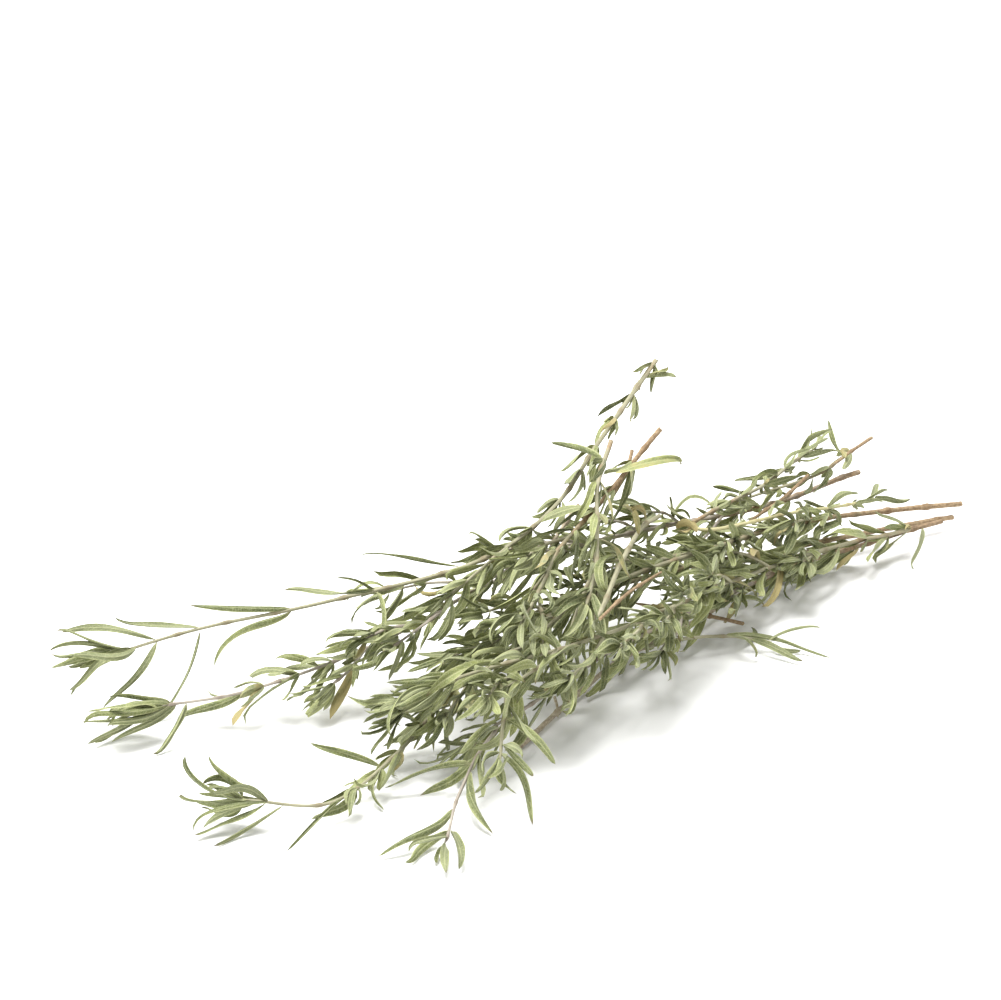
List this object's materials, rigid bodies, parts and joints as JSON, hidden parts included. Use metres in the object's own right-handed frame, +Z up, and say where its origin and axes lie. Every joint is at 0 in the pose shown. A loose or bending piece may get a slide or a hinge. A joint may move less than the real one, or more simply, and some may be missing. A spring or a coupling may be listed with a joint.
{
  "type": "thyme bundle",
  "caption": "Loose bundle of dried herb sprigs lying flat, thin woody stems together at one end and narrow leafy tips fanned out at the other.",
  "frame": {"origin": "centre of the bundle's footprint, on the surface it lies on", "axes": "+Z up, +X along the bundle from the leafy tips to the cut woody ends, +Y to its left-hand side seen from above with +X pointing ahead"},
  "size_m": [0.2235, 0.1, 0.0544],
  "materials": {
    "old_wood": "rough dry bark",
    "young_stem": "matt, finely ridged",
    "straw_stem": "matt, dry straw",
    "leaf": "matt, dry leaf"
  },
  "bodies": {
    "root": {"back_long_sprig_leaf_1": "leaf", "back_long_sprig_leaf_2": "leaf", "back_long_sprig_leaf_3": "leaf", "back_long_sprig_leaf_4": "leaf", "back_long_sprig_leaf_5": "leaf", "back_long_sprig_leaf_6": "leaf", "back_long_sprig_leaf_7": "leaf", "back_long_sprig_leaf_8": "leaf", "back_long_sprig_leaf_9": "leaf", "back_long_sprig_stem": "young_stem", "back_long_sprig_tip_leaves": "leaf", "bare_woody_sprig_stem": "old_wood", "bare_woody_sprig_tip_leaves": "leaf", "brown_twig_stem": "old_wood", "crossing_sprig_stem": "young_stem", "crossing_sprig_tip_leaves": "leaf", "far_right_sprig_leaf_1": "leaf", "far_right_sprig_stem": "young_stem", "far_right_sprig_tip_leaves": "leaf", "front_left_sprig_leaf_1": "leaf", "front_left_sprig_leaf_2": "leaf", "front_left_sprig_leaf_3": "leaf", "front_left_sprig_leaf_4": "leaf", "front_left_sprig_leaf_5": "leaf", "front_left_sprig_stem": "old_wood", "front_left_sprig_tip_leaves": "leaf", "front_middle_sprig_stem": "young_stem", "front_middle_sprig_tip_leaves": "leaf", "front_sprig_leaf_1": "leaf", "front_sprig_leaf_2": "leaf", "front_sprig_leaf_3": "leaf", "front_sprig_leaf_4": "leaf", "front_sprig_leaf_5": "leaf", "front_sprig_stem": "old_wood", "front_sprig_tip_leaves": "leaf", "high_right_sprig_leaf_1": "leaf", "high_right_sprig_stem": "young_stem", "high_right_sprig_tip_leaves": "leaf", "left_sprig_leaf_1": "leaf", "left_sprig_leaf_2": "leaf", "left_sprig_leaf_3": "leaf", "left_sprig_leaf_4": "leaf", "left_sprig_leaf_5": "leaf", "left_sprig_stem": "young_stem", "left_sprig_tip_leaves": "leaf", "middle_sprig_leaf_1": "leaf", "middle_sprig_leaf_2": "leaf", "middle_sprig_leaf_3": "leaf", "middle_sprig_stem": "old_wood", "middle_sprig_tip_leaves": "leaf", "pale_bare_sprig_stem": "young_stem", "right_front_sprig_leaf_1": "leaf", "right_front_sprig_leaf_2": "leaf", "right_front_sprig_stem": "young_stem", "right_front_sprig_tip_leaves": "leaf", "straw_sprig_stem": "straw_stem", "straw_sprig_tip_leaves": "leaf", "upright_sprig_leaf_1": "leaf", "upright_sprig_stem": "young_stem", "upright_sprig_tip_leaves": "leaf"}
  },
  "joints": []
}
